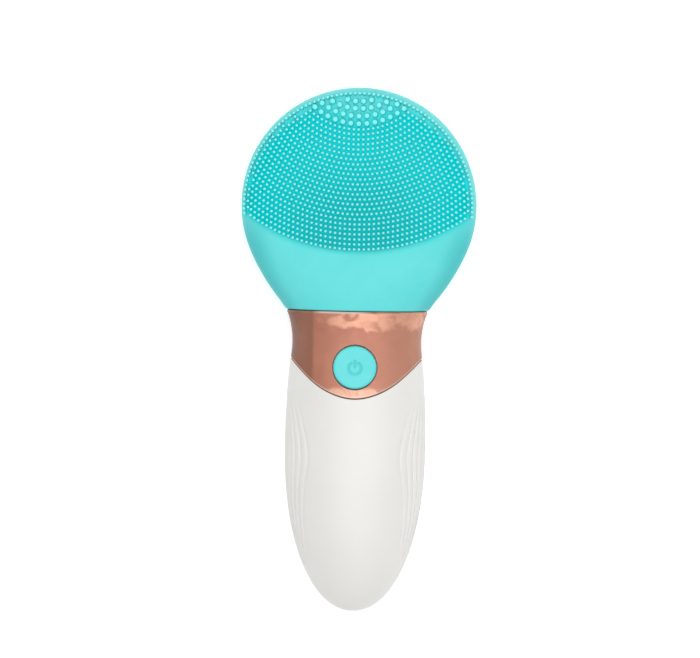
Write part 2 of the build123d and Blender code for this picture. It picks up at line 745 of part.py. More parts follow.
# ---------------------------------------------------------------- the nodes
NODES = [
    silicone_head_cover, collar_ring, handle_shell, power_button, button_seal,
    head_frame_rear, head_frame_front, frame_screws, neck_o_ring, lead_grommet,
    motor_can, motor_end_cap, motor_bushes, motor_magnets, motor_brushes, motor_terminals,
    motor_shaft, armature_core, armature_windings, commutator, eccentric_weight,
    motor_sleeve, motor_clamp, clamp_screws,
    battery_carrier, carrier_screws, battery_cell, battery_foam_pad,
    circuit_board, board_screws, switch_body, switch_plunger,
    control_chip, charge_chip, board_capacitors, indicator_led,
    motor_leads, battery_leads,
    charging_pad, charging_pins, charging_magnets, charge_leads,
]

os.makedirs("parts", exist_ok=True)
for node in NODES:
    export_step(node(), f"parts/{node.__name__}.step")
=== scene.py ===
import json
from math import asin, atan2, ceil, copysign, cos, degrees, hypot, pi, radians, sin

import bmesh
import bpy
from mathutils import Euler, Matrix, Vector


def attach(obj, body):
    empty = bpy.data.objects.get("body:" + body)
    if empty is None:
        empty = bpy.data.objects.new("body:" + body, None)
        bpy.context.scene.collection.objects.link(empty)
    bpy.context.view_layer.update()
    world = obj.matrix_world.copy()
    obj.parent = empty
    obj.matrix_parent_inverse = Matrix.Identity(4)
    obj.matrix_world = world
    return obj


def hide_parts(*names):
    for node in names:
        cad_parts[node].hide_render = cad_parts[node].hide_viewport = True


# Facial cleansing brush, lying on its back: +Z out of the bristles, +Y from the grip to the head.
# The pieces' lengths are in millimetres and become metres in mm_mesh. Their heights are above the
# middle plane. The camera, the floor, the lights and the materials' grain and bumps are in metres.

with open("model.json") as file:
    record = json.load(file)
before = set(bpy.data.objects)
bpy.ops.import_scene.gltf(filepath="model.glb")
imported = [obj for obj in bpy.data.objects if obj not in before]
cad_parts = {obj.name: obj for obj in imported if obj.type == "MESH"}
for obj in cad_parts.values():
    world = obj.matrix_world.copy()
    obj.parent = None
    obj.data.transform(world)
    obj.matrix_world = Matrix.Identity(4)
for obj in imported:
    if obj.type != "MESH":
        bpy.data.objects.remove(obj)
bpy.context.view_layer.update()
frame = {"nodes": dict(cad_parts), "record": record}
MM = 0.001

# ---------------------------------------------------------------- driving dimensions
LENGTH = 160.0
TIP_Y = -LENGTH / 2
TOP_Y = LENGTH / 2
HEAD_RADIUS = 35.9
HEAD_Y = TOP_Y - HEAD_RADIUS
BELLY_Y = -30.0
BELLY_RADIUS = 21.55
DEPTH = 15.1  # middle plane to the back, and to the front at the belly
HEAD_FRONT = 13.5
REST_FLAT = 0.4
MID_Z = DEPTH - REST_FLAT
# Exponents of the superellipses that close the grip's tip and shape the head.
TIP_POWER = 2.1
HEAD_POWER = {"side": 2.0, "front": 3.0, "back": 2.4}

# Half-width and depth of the waist, as (y, value).
WAIST = {
    "side": [
        (BELLY_Y, BELLY_RADIUS), (-16.0, 21.2), (-5.0, 20.4), (2.5, 19.7), (7.5, 20.25), (12.0, 21.8),
        (16.8, 25.3), (22.3, 29.05), (28.0, 32.15), (35.5, 34.9), (HEAD_Y, HEAD_RADIUS),
    ],
    "front": [
        (BELLY_Y, DEPTH), (-12.0, 14.3), (2.5, 13.6), (12.0, 14.0), (21.0, 14.4), (32.0, 14.0),
        (HEAD_Y, HEAD_FRONT),
    ],
    "back": [(BELLY_Y, DEPTH), (-12.0, 14.3), (2.5, 13.6), (12.0, 14.0), (26.0, 14.7), (HEAD_Y, DEPTH)],
}
BELLY = {"side": BELLY_RADIUS, "front": DEPTH, "back": DEPTH}
HEAD = {"side": HEAD_RADIUS, "front": HEAD_FRONT, "back": DEPTH}

# The collar's lower edge, as (distance from the middle line, y).
COLLAR_EDGE = [(0.0, -14.6), (6.8, -13.2), (12.8, -9.8), (19.9, -3.0), (26.0, 3.4)]
COLLAR_TOP_Y = 12.0
SEAM = 0.12
COLLAR_WALL = 1.0
COVER_WALL = 1.8
HANDLE_WALL = 2.0
NECK_INSET = 1.1
NECK_TOP_Y = 11.8
BORE = (16.5, 9.9)  # half-width and half-depth of the hole through the neck
BORE_LOW_Y = -23.0

BUTTON_Y = -5.0
BUTTON_RADIUS = 6.6
BUTTON_HOLE = 6.8
BUTTON_TOP = 14.4
BUTTON_RIM = 12.0  # the skirt's lower edge
BUTTON_UNDERSIDE = 13.2
BUTTON_SKIRT = 0.9
POCKET_FLOOR = 11.0
STEM_RADIUS = 2.0
STEM_HOLE = 2.6
STEM_BOTTOM = 7.63
STEM_CUT = (4.0, 20.0)  # from the hollow of the grip to above the button

CHARGE_Y = -37.0
PAD_HALF_WIDTH = 3.5
PAD_LENGTH = 15.0
PAD_CUT = (-20.0, -5.0)  # from below the back to the hollow of the grip

# Flutes: their half-spread round the handle's side in degrees, as (mm from the tip, spread).
FLUTE_SPREAD = [(0.0, 24.0), (14.0, 31.0), (22.0, 36.0), (31.0, 40.3), (40.0, 45.3), (48.0, 48.8),
                (56.0, 43.5), (63.5, 34.5), (70.0, 24.0)]
FLUTES = 6  # grooves from the side's middle line to the innermost one
FLUTE_DEPTH = 0.46
FLUTE_START = (10.0, 24.0)  # mm from the tip, between which the flutes get deeper
FLUTE_END = (69.0, 58.0)

# Bristles: tips stand on arcs about a point beyond the head's top.
ARC_Y = 90.8
FINE_ROWS = 25
# Every other one of these has a bristle on the middle line; no row before them has, all after do.
STAGGERED_ROWS = range(7, 19)
FINE_OUTER = 59.75
FINE_ROW_PITCH = 1.52
FINE_PITCH = 1.473
FINE_LENGTH = 2.0
CONTOUR_PITCH = 1.44
CONTOUR_TOP_INSET = 1.5
CONTOUR_SIDE_INSET = 1.05
CONTOUR_CLEARANCE = 1.3  # from the contour row to the ends of the fine rows
THICK_ROWS = [(21.5, 13), (19.2, 11), (16.9, 8), (14.7, 4)]  # (arc radius, bristles)
THICK_PITCH = 2.45
THICK_LENGTH = 2.6

# Painted shade and painted light on the silicone skin.
SHADE_FADE_Y = 28.0
SHADE_FADE_RADII = (8.0, 36.0)  # from this point, between which the painted shade on the skin of the field gets lighter
PATCH_LIGHT_RADII = (24.4, 16.0)  # from the arcs' centre, between which painted light makes the thick patch paler
FIELD_BELOW = (2.6, -0.8)  # from the outermost arc, between which the field's painted shade comes in: a painted soft shadow below the lowest row
FIELD_RIM = 0.3  # how far outside the contour row the field's painted shade begins
FIELD_SIDE_FADE = 1.5
FIELD_TOP_FADE = 3.0
FLANK_SHADE_SHARES = (0.74, 1.0)  # of the half-width, between which painted shade darkens the sides
FLANK_SHADE_Y = (44.0, 30.0)


# ---------------------------------------------------------------- curves
def clamped_spline(points, start=0.0, end=0.0):
    """A cubic through (x, value) points with the given end slopes, as a function of x."""
    n = len(points)
    steps = [points[i + 1][0] - points[i][0] for i in range(n - 1)]
    rise = [(points[i + 1][1] - points[i][1]) / steps[i] for i in range(n - 1)]
    upper = [0.0] * n
    slope = [start] + [0.0] * (n - 1)
    for i in range(1, n - 1):
        weight = 2 * (steps[i - 1] + steps[i]) - steps[i] * upper[i - 1]
        upper[i] = steps[i - 1] / weight
        right = 3 * (steps[i] * rise[i - 1] + steps[i - 1] * rise[i])
        slope[i] = (right - steps[i] * slope[i - 1]) / weight
    slope[n - 1] = end
    for i in range(n - 2, 0, -1):
        slope[i] -= upper[i] * slope[i + 1]

    def value(x):
        x = min(max(x, points[0][0]), points[-1][0])
        i = 0
        while i < n - 2 and x > points[i + 1][0]:
            i += 1
        t = (x - points[i][0]) / steps[i]
        low = points[i][1]
        high = points[i + 1][1]
        a = slope[i] * steps[i] - (high - low)
        b = (high - low) - slope[i + 1] * steps[i]
        return (1 - t) * low + t * high + t * (1 - t) * (a * (1 - t) + b * t)

    return value


def smoothstep(low, high, x):
    t = min(1.0, max(0.0, (x - low) / (high - low)))
    return t * t * (3 - 2 * t)


WAIST_CURVE = {name: clamped_spline(points) for name, points in WAIST.items()}
COLLAR_CURVE = clamped_spline(COLLAR_EDGE, end=1.05)
SPREAD_CURVE = clamped_spline(FLUTE_SPREAD, start=0.5, end=-1.5)


def superellipse(share, power):
    return max(0.0, 1 - abs(share) ** power) ** (1 / power)


def reach(name, y, inset=0.0):
    """Half-width or depth of the body at y, for a surface inset below the outside."""
    if y < BELLY_Y:
        share = (BELLY_Y - y) / (BELLY_Y - TIP_Y - inset)
        return (BELLY[name] - inset) * superellipse(share, TIP_POWER)
    if y > HEAD_Y:
        share = (y - HEAD_Y) / (HEAD_RADIUS - inset)
        return (HEAD[name] - inset) * superellipse(share, HEAD_POWER[name])
    return WAIST_CURVE[name](y) - inset


def power_at(face, y):
    share = min(1.0, max(0.0, (y - COLLAR_TOP_Y) / (HEAD_Y - COLLAR_TOP_Y)))
    return 2.0 + (HEAD_POWER[face] - 2.0) * share


def on_body(turn, y, inset=0.0):
    """A point of the body's surface at angle turn round the section at y."""
    c = cos(turn)
    s = sin(turn)
    face = "front" if s > 0 else "back"
    power = power_at(face, y)
    x = reach("side", y, inset) * copysign(abs(c) ** (2 / power), c)
    z = reach(face, y, inset) * copysign(abs(s) ** (2 / power), s)
    return Vector((x, y, max(z, inset - MID_Z)))


def front_height(x, y):
    """Height of the front surface above the middle plane."""
    half = reach("side", y)
    power = power_at("front", y)
    if half <= abs(x):
        return 0.0
    return reach("front", y) * superellipse(x / half, power)


def front_normal(x, y):
    step = 0.05
    dx = (front_height(x + step, y) - front_height(x - step, y)) / (2 * step)
    dy = (front_height(x, y + step) - front_height(x, y - step)) / (2 * step)
    return Vector((-dx, -dy, 1)).normalized()


def turns_round(count):
    return [2 * pi * i / count for i in range(count)]


def collar_edge_y(turn):
    """Where the collar's lower edge crosses the line of the surface at angle turn."""
    y = -10.0
    for _ in range(30):
        y = COLLAR_CURVE(abs(reach("side", y) * cos(turn)))
    return y


# ---------------------------------------------------------------- meshes
def mm_mesh(name, points, faces):
    """An object from points in mm, their z measured from the middle plane, with normals outward."""
    mesh = bpy.data.meshes.new(name)
    mesh.from_pydata([(x * MM, y * MM, (z + MID_Z) * MM) for x, y, z in points], [], faces)
    mesh.validate()
    outward = bmesh.new()
    outward.from_mesh(mesh)
    bmesh.ops.recalc_face_normals(outward, faces=outward.faces)
    outward.to_mesh(mesh)
    outward.free()
    made = bpy.data.objects.new(name, mesh)
    bpy.context.scene.collection.objects.link(made)
    return made


def new_piece(name, points, faces, body, material, replaces=()):
    """A smooth-shaded piece that rides on one of the frame's bodies."""
    piece = mm_mesh(name, points, faces)
    mesh = piece.data
    mesh.polygons.foreach_set("use_smooth", [True] * len(mesh.polygons))
    mesh.materials.append(material)
    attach(piece, body)
    if replaces:
        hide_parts(*replaces)
    return piece


def strip_faces(rows, count):
    """Quads between rows of count points each; a row of one point is a pole."""
    faces = []
    starts = []
    total = 0
    for row in rows:
        starts.append(total)
        total += len(row)
    for j in range(len(rows) - 1):
        a = starts[j]
        b = starts[j + 1]
        for i in range(count):
            k = (i + 1) % count
            if len(rows[j]) == 1:
                faces.append((a, b + k, b + i))
            elif len(rows[j + 1]) == 1:
                faces.append((a + i, a + k, b))
            else:
                faces.append((a + i, a + k, b + k, b + i))
    return faces


def lathe(name, rows, count, body, material, replaces):
    points = [tuple(p) for row in rows for p in row]
    return new_piece(name, points, strip_faces(rows, count), body, material, replaces)


def float_attribute(piece, name, values):
    attribute = piece.data.attributes.new(name, "FLOAT", "POINT")
    attribute.data.foreach_set("value", values)


def row_mask(rows, chosen):
    """1 at each point of the chosen rows and 0 at the others."""
    return [1.0 if j in chosen else 0.0 for j, row in enumerate(rows) for _ in row]


def cut(piece, cutter):
    """Takes the cutter away from the piece and deletes the cutter."""
    modifier = piece.modifiers.new("cut", "BOOLEAN")
    modifier.operation = "DIFFERENCE"
    modifier.solver = "EXACT"
    modifier.object = cutter
    graph = bpy.context.evaluated_depsgraph_get()
    result = bpy.data.meshes.new_from_object(piece.evaluated_get(graph))
    piece.modifiers.clear()
    old = piece.data
    piece.data = result
    bpy.data.meshes.remove(old)
    bpy.data.objects.remove(cutter)


def cutter_from_rows(rows, count):
    """A closed cutter; its first and last rows are capped."""
    points = [tuple(p) for row in rows for p in row]
    faces = strip_faces(rows, count)
    last = len(points) - count
    faces.append(tuple(reversed(range(count))))
    faces.append(tuple(range(last, last + count)))
    return mm_mesh("cutter", points, faces)


# ---------------------------------------------------------------- materials
def srgb(r, g, b):
    """A colour given as 0 to 255, as the linear values that a shader takes."""
    linear = []
    for value in (r, g, b):
        share = value / 255
        linear.append(share / 12.92 if share <= 0.04045 else ((share + 0.055) / 1.055) ** 2.4)
    return (*linear, 1.0)


class Material:
    """A node material with short ways to add what most of them use."""

    def __init__(self, name, colour, roughness, **sockets):
        self.made = bpy.data.materials.new(name)
        self.made.use_nodes = True
        self.tree = self.made.node_tree
        self.shader = self.tree.nodes["Principled BSDF"]
        self.shader.inputs["Base Color"].default_value = colour
        self.shader.inputs["Roughness"].default_value = roughness
        for socket, value in sockets.items():
            self.shader.inputs[socket.replace("_", " ")].default_value = value
        self.place = self.node("ShaderNodeTexCoord").outputs["Object"]

    def node(self, kind, **values):
        made = self.tree.nodes.new(kind)
        for key, value in values.items():
            if hasattr(made, key):
                setattr(made, key, value)
            else:
                made.inputs[key.replace("_", " ")].default_value = value
        return made

    def link(self, source, target):
        self.tree.links.new(source, target)

    def noise(self, scale, detail=4.0, rough=0.5, distortion=0.0, stretch=(1, 1, 1)):
        """Noise whose grains are about 1 / scale metres across."""
        mapping = self.node("ShaderNodeMapping")
        mapping.inputs["Scale"].default_value = stretch
        self.link(self.place, mapping.inputs["Vector"])
        noise = self.node("ShaderNodeTexNoise", Scale=scale, Detail=detail, Roughness=rough,
                          Distortion=distortion)
        self.link(mapping.outputs["Vector"], noise.inputs["Vector"])
        return noise.outputs["Fac"]

    def ramp(self, source, stops):
        ramp = self.node("ShaderNodeValToRGB")
        elements = ramp.color_ramp.elements
        while len(elements) < len(stops):
            elements.new(0.5)
        for element, (position, colour) in zip(elements, stops):
            element.position = position
            element.color = colour
        self.link(source, ramp.inputs["Fac"])
        return ramp.outputs["Color"]

    def mix(self, fac, a, b):
        """a where fac is 0 and b where it is 1; each may be a value or a node's output."""
        mix = self.node("ShaderNodeMix", data_type="RGBA")
        for socket, value in ((0, fac), (6, a), (7, b)):
            if isinstance(value, (float, int, tuple)):
                mix.inputs[socket].default_value = value
            else:
                self.link(value, mix.inputs[socket])
        return mix.outputs[2]

    def colour(self, source):
        self.link(source, self.shader.inputs["Base Color"])

    def roughness(self, source, low, high):
        grey = self.ramp(source, [(0.3, (low, low, low, 1)), (0.7, (high, high, high, 1))])
        self.link(grey, self.shader.inputs["Roughness"])

    def bump(self, source, distance, strength):
        bump = self.node("ShaderNodeBump", Distance=distance, Strength=strength)
        self.link(source, bump.inputs["Height"])
        existing = self.shader.inputs["Normal"]
        if existing.is_linked:
            self.link(existing.links[0].from_socket, bump.inputs["Normal"])
        self.link(bump.outputs["Normal"], existing)

    def along(self, axis, low, high):
        """0 where the object's coordinate is low, in mm, rising smoothly to 1 where it is high."""
        split = self.node("ShaderNodeSeparateXYZ")
        self.link(self.place, split.inputs["Vector"])
        ranged = self.node("ShaderNodeMapRange", interpolation_type="SMOOTHSTEP")
        ranged.inputs["From Min"].default_value = low * MM
        ranged.inputs["From Max"].default_value = high * MM
        self.link(split.outputs[axis], ranged.inputs["Value"])
        return ranged.outputs["Result"]

    def times(self, *factors):
        """The product of node outputs and numbers."""
        product = factors[0]
        for factor in factors[1:]:
            step = self.node("ShaderNodeMath", operation="MULTIPLY")
            for socket, value in enumerate((product, factor)):
                if isinstance(value, float):
                    step.inputs[socket].default_value = value
                else:
                    self.link(value, step.inputs[socket])
            product = step.outputs[0]
        return product

    def grey(self, source, low, high):
        return self.ramp(source, [(low, (0, 0, 0, 1)), (high, (1, 1, 1, 1))])

    def attribute(self, name):
        return self.node("ShaderNodeAttribute", attribute_name=name).outputs["Fac"]


# Of these, all but the first are painted: shade between the bristles and at their feet, and light on
# the thick patch and the bristles' tips.
SILICONE = srgb(98, 228, 228)
SILICONE_SHADE = srgb(0, 211, 214)
SILICONE_FADED_SHADE = srgb(2, 236, 239)
SILICONE_PATCH_LIGHT = srgb(124, 253, 253)
SILICONE_TIP_LIGHT = srgb(166, 253, 252)


def silicone_skin():
    m = Material("silicone_skin", SILICONE, 0.42, Subsurface_Weight=0.5, Subsurface_Scale=0.0016,
                 Specular_IOR_Level=0.07)
    m.shader.inputs["Subsurface Radius"].default_value = (0.2, 1.0, 1.0)
    cloud = m.ramp(m.noise(90, 3), [(0.3, srgb(111, 230, 230)), (0.7, srgb(118, 235, 234))])
    # Painted shade: the head's lower sides darker where the surface turns down.
    cloud = m.mix(m.attribute("flank_shade"), cloud, srgb(84, 208, 211))
    # Painted shade on the skin between the bristles, lighter farther from one point.
    between = m.mix(m.attribute("shade_fade"), SILICONE_SHADE, SILICONE_FADED_SHADE)
    # Painted light on the skin among the thick bristles.
    between = m.mix(m.attribute("patch"), between, SILICONE_PATCH_LIGHT)
    tone = m.mix(m.attribute("field"), cloud, between)
    # Painted shade: the lowest rows of the lip, at the seam with the collar, dark teal.
    m.colour(m.mix(m.attribute("lip"), tone, srgb(0, 100, 102)))
    m.roughness(m.noise(1400, 3), 0.38, 0.48)
    m.bump(m.noise(5200, 2), 0.00002, 0.35)
    return m.made


def silicone_bristle():
    m = Material("silicone_bristle", SILICONE_TIP_LIGHT, 0.38, Subsurface_Weight=0.2,
                 Subsurface_Scale=0.001, Specular_IOR_Level=0.2)
    m.shader.inputs["Subsurface Radius"].default_value = (0.2, 1.0, 1.0)
    # Painted shade at each bristle's foot, painted light at its tip.
    m.colour(m.ramp(m.attribute("tip"), [(0.0, SILICONE_SHADE), (0.84, srgb(0, 232, 235)),
                                         (0.92, srgb(106, 249, 249)),
                                         (0.97, srgb(146, 253, 252)), (1.0, SILICONE_TIP_LIGHT)]))
    m.roughness(m.noise(2400, 2), 0.34, 0.44)
    return m.made


def button_silicone():
    m = Material("button_silicone", srgb(115, 230, 231), 0.45, Subsurface_Weight=0.1,
                 Subsurface_Scale=0.003, Specular_IOR_Level=0.35)
    cloud = m.ramp(m.noise(160, 3), [(0.3, srgb(100, 228, 229)), (0.7, srgb(108, 233, 233))])
    m.colour(m.mix(m.attribute("symbol"), cloud, srgb(82, 214, 215)))
    m.roughness(m.noise(1800, 2), 0.42, 0.5)
    m.bump(m.noise(6000, 2), 0.00002, 0.3)
    return m.made


def white_shell():
    m = Material("white_shell", srgb(240, 239, 235), 0.42, Coat_Weight=0.08, Coat_Roughness=0.3,
                 Specular_IOR_Level=0.4)
    cloud = m.ramp(m.noise(45, 4), [(0.3, srgb(239, 238, 234)), (0.7, srgb(243, 242, 238))])
    # Painted shade: brown where the handle meets the collar's seam.
    m.colour(m.mix(m.attribute("seam_shade"), cloud, srgb(168, 118, 100)))
    m.roughness(m.noise(900, 3), 0.38, 0.47)
    m.bump(m.noise(4200, 3, 0.6), 0.000015, 0.4)
    return m.made


def rose_gold():
    """Copper-coloured plating with painted reflections: soft patches, partly tone that differs at
    random and partly painted reflection; painted reflections of creases near the top; painted
    highlights on the rolled and chamfered edges; painted shade in the seam along the lower edge.

    Across the collar, painted light and shade make the tone darkest at the left end and lightest right
    of the middle, and a little darker again in the middle and at the right end.
    """
    m = Material("rose_gold", srgb(198, 132, 110), 0.42, Metallic=0.26, Specular_IOR_Level=0.4)
    # Soft patches: partly tone that differs at random, partly painted reflection.
    tone = m.ramp(m.noise(80, 4, 0.5, 0.8), [(0.35, srgb(190, 124, 101)), (0.65, srgb(203, 137, 114))])
    # Painted light and shade across the collar: lighter right of the middle, darker at the left end, at
    # the right end and in the middle.
    tone = m.mix(m.times(m.along("X", 4.0, 15.0), 0.7), tone, srgb(214, 152, 128))
    tone = m.mix(m.times(m.along("X", -12.3, -13.6), 0.7), tone, srgb(152, 105, 85))
    tone = m.mix(m.times(m.along("X", -15.0, -20.0), 0.75), tone, srgb(112, 66, 50))
    tone = m.mix(m.times(m.along("X", 14.0, 20.0), 0.6), tone, srgb(168, 112, 92))
    middle = m.times(m.along("X", -9.0, -1.0), m.along("X", 11.0, 2.0), 0.5)
    tone = m.mix(middle, tone, srgb(166, 106, 87))
    # Painted reflections near the top: creased highlights with darker fold lines among them.
    upper = m.times(m.along("Y", 2.0, 9.0), m.along("X", -26.0, 4.0), m.along("Z", 14.0, 19.0))
    creased_reflection = m.times(m.noise(150, 2, 0.45, 1.6), upper)
    tone = m.mix(m.times(m.grey(creased_reflection, 0.31, 0.47), 0.8), tone, srgb(241, 179, 151))
    reflection_folds = m.noise(260, 2, 0.4, 2.4, (0.7, 1.3, 1.0))
    tone = m.mix(m.times(m.grey(reflection_folds, 0.50, 0.62), upper, 0.35), tone, srgb(205, 138, 112))
    # Painted reflection: lighter patches below the button.
    below = m.grey(m.noise(150, 2, 0.5, 1.0), 0.36, 0.52)
    tone = m.mix(m.times(below, m.along("Y", -10.6, -12.2), 0.8), tone, srgb(240, 186, 160))
    # Painted highlights on the rolled edge and the chamfered lip.
    tone = m.mix(m.times(m.attribute("painted_highlight"), 0.9), tone, srgb(252, 222, 208))
    # Painted shade in the seam along the collar's lower edge.
    m.colour(m.mix(m.attribute("edge"), tone, srgb(140, 80, 64)))
    m.roughness(m.noise(300, 4), 0.38, 0.48)
    m.bump(m.noise(110, 3, 0.5, 0.8), 0.0003, 0.18)
    m.bump(m.noise(2500, 3), 0.00001, 0.3)
    return m.made


def plain(name, colour, roughness, grain=1200, spread=0.1, bump=0.00002, **sockets):
    """A moulded or machined surface: a base colour with fine variation, and a fine grain."""
    m = Material(name, colour, roughness, **sockets)
    dark = tuple(c * (1 - spread) for c in colour[:3]) + (1,)
    light = tuple(min(1.0, c * (1 + spread)) for c in colour[:3]) + (1,)
    m.colour(m.ramp(m.noise(grain / 8, 4), [(0.3, dark), (0.7, light)]))
    m.roughness(m.noise(grain, 3), max(0.05, roughness - 0.06), roughness + 0.06)
    m.bump(m.noise(grain * 2, 2), bump, 0.4)
    return m.made


def brushed(name, colour, roughness, stretch):
    """Turned or drawn metal, its grain long in one direction."""
    m = Material(name, colour, roughness, Metallic=1.0)
    grain = m.noise(1500, 5, 0.6, 0.0, stretch)
    m.roughness(grain, roughness - 0.08, roughness + 0.1)
    m.colour(m.ramp(grain, [(0.3, tuple(c * 0.86 for c in colour[:3]) + (1,)), (0.7, colour)]))
    m.bump(grain, 0.00001, 0.5)
    return m.made


def laminated():
    """Thin steel sheets stacked along the shaft."""
    m = Material("lamination_steel", srgb(150, 152, 156), 0.4, Metallic=1.0)
    wave = m.node("ShaderNodeTexWave", Scale=320.0, bands_direction="Y")
    m.link(m.place, wave.inputs["Vector"])
    m.colour(m.ramp(wave.outputs["Fac"], [(0.2, srgb(70, 72, 76)), (0.5, srgb(158, 160, 164))]))
    m.bump(wave.outputs["Fac"], 0.00005, 0.6)
    return m.made


def winding():
    """Enamelled copper turns."""
    m = Material("winding_copper", srgb(176, 92, 50), 0.25, Metallic=1.0, Coat_Weight=0.6)
    wave = m.node("ShaderNodeTexWave", Scale=420.0, Distortion=1.5, bands_direction="Y")
    m.link(m.place, wave.inputs["Vector"])
    m.colour(m.ramp(wave.outputs["Fac"], [(0.2, srgb(96, 42, 22)), (0.6, srgb(196, 108, 60))]))
    m.bump(wave.outputs["Fac"], 0.00006, 0.8)
    return m.made


def circuit():
    """Solder mask with faint tracks under it."""
    m = Material("board_green", srgb(16, 96, 56), 0.3, Coat_Weight=0.3)
    cells = m.node("ShaderNodeTexVoronoi", Scale=420.0, feature="DISTANCE_TO_EDGE",
                   distance="MANHATTAN")
    m.link(m.place, cells.inputs["Vector"])
    m.colour(m.ramp(cells.outputs["Distance"], [(0.03, srgb(34, 128, 78)), (0.08, srgb(14, 88, 50))]))
    m.bump(cells.outputs["Distance"], 0.00002, 0.4)
    return m.made


STEEL = srgb(196, 198, 202)
MADE = {
    "silicone": silicone_skin(),
    "button_silicone": button_silicone(),
    "white_shell": white_shell(),
    "rose_gold": rose_gold(),
    "seal_rubber": plain("seal_rubber", srgb(34, 34, 36), 0.6),
    "frame_plastic": plain("frame_plastic", srgb(206, 208, 208), 0.5),
    "carrier_plastic": plain("carrier_plastic", srgb(44, 44, 47), 0.5),
    "screw_steel": brushed("screw_steel", STEEL, 0.3, (1, 1, 6)),
    "can_steel": brushed("can_steel", STEEL, 0.28, (6, 1, 6)),
    "shaft_steel": brushed("shaft_steel", srgb(214, 214, 216), 0.2, (1, 8, 1)),
    "bush_bronze": plain("bush_bronze", srgb(184, 146, 92), 0.4, 2600, Metallic=1.0),
    "magnet": plain("magnet", srgb(62, 62, 66), 0.5, 2200, Metallic=0.6),
    "contact_copper": brushed("contact_copper", srgb(206, 140, 96), 0.3, (1, 6, 1)),
    "lamination_steel": laminated(),
    "winding_copper": winding(),
    "weight_metal": plain("weight_metal", srgb(120, 120, 124), 0.42, 2400, Metallic=1.0),
    "cell_wrap": plain("cell_wrap", srgb(60, 108, 172), 0.3, 500, 0.06, Coat_Weight=0.5),
    "foam": plain("foam", srgb(66, 66, 69), 0.9, 900, 0.25, 0.0002),
    "board_green": circuit(),
    "chip_black": plain("chip_black", srgb(34, 34, 36), 0.45, 2600),
    "ceramic": plain("ceramic", srgb(176, 158, 130), 0.45, 3000),
    "led_lens": plain("led_lens", srgb(244, 248, 255), 0.15, 800, 0.02, Transmission_Weight=0.6),
    "switch_black": plain("switch_black", srgb(38, 38, 40), 0.45, 2400),
    "lead_red": plain("lead_red", srgb(186, 32, 26), 0.4, 1600),
    "lead_black": plain("lead_black", srgb(36, 36, 38), 0.4, 1600),
    "pin_gold": brushed("pin_gold", srgb(236, 198, 120), 0.22, (1, 1, 4)),
}
BRISTLE = silicone_bristle()


def dress_cad_nodes():
    """Every piece that comes straight from the frame gets its slot's material."""
    for part in frame["record"]["subparts"]:
        piece = frame["nodes"][part["node"]]
        piece.data.materials.clear()
        piece.data.materials.append(MADE[part["material_slot"]])


# ---------------------------------------------------------------- head
SKIN_TURNS = 360
SKIN_ROWS = 190


def silicone_skin_piece():
    """The cover, one closed shell: the inside down to the collar, a rolled lip, the outside."""
    lip = 0.75
    low = COLLAR_TOP_Y + SEAM / 2
    turns = turns_round(SKIN_TURNS)
    inner_rows = SKIN_ROWS // 3
    rows = [[Vector((0, TOP_Y - COVER_WALL, 0))]]
    for j in range(inner_rows - 1, -1, -1):
        y = low + (TOP_Y - COVER_WALL - low) * sin(pi / 2 * j / inner_rows)
        rows.append([on_body(t, y, COVER_WALL) for t in turns])
    for a in range(90, -1, -15):
        y = low + lip * (1 - sin(radians(a)))
        inset = lip * (1 - cos(radians(a)))
        rows.append([on_body(t, y, inset) for t in turns])
    for j in range(1, SKIN_ROWS):
        share = sin(pi / 2 * j / SKIN_ROWS)
        y = low + lip + (TOP_Y - low - lip) * share
        rows.append([on_body(t, y) for t in turns])
    rows.append([Vector((0, TOP_Y, 0))])
    skin = lathe("silicone_skin", rows, SKIN_TURNS, "brush", MADE["silicone"],
                 ["silicone_head_cover"])
    points = [point for row in rows for point in row]
    # The lip's lowest rows take painted shade from the seam.
    seam_shade_rows = range(inner_rows + 1, inner_rows + 4)
    float_attribute(skin, "lip", row_mask(rows, seam_shade_rows))
    # Painted shade between the bristles and below the lowest row.
    float_attribute(skin, "field", [field_shade_mask(*p) for p in points])
    # Where that painted shade gets lighter.
    float_attribute(skin, "shade_fade", [shade_fade_mask(p.x, p.y) for p in points])
    # Painted light among the thick bristles.
    float_attribute(skin, "patch", [patch_light_mask(p.x, p.y) for p in points])
    # Painted shade on the head's lower sides.
    float_attribute(skin, "flank_shade", [flank_shade_mask(p.x, p.y) for p in points])


# Where the painted shade between the bristles gets lighter.
def shade_fade_mask(x, y):
    return smoothstep(*SHADE_FADE_RADII, hypot(x, y - SHADE_FADE_Y))


# Where light is painted on the skin among the thick bristles.
def patch_light_mask(x, y):
    return smoothstep(*PATCH_LIGHT_RADII, hypot(x, ARC_Y - y))


def flank_shade_mask(x, y):
    """Rises to 1 at the sides of the head's lower part, where the surface turns down; there shade is
    painted on the skin.
    """
    share = abs(x) / max(1.0, reach("side", y))
    return smoothstep(*FLANK_SHADE_SHARES, share) * smoothstep(*FLANK_SHADE_Y, y)


def contour_inset(turn):
    """How far inside the head's outline the contour row's tips stand."""
    share = max(0.0, sin(turn))
    return CONTOUR_SIDE_INSET + (CONTOUR_TOP_INSET - CONTOUR_SIDE_INSET) * share * share


def field_shade_mask(x, y, z):
    """1 where shade is painted on the skin between the bristles, fading to 0 just outside the outermost
    ones.
    """
    if z < 1:
        return 0.0
    above_arc = smoothstep(*FIELD_BELOW, hypot(x, ARC_Y - y) - FINE_OUTER)
    turn = atan2(y - HEAD_Y, x)
    rim = HEAD_RADIUS - contour_inset(turn)
    fade = FIELD_SIDE_FADE + FIELD_TOP_FADE * max(0.0, sin(turn)) ** 2
    inside = smoothstep(rim + FIELD_RIM, rim - fade, hypot(x, y - HEAD_Y))
    return above_arc * inside


def arc_point(radius, turn):
    return radius * sin(turn), ARC_Y - radius * cos(turn)


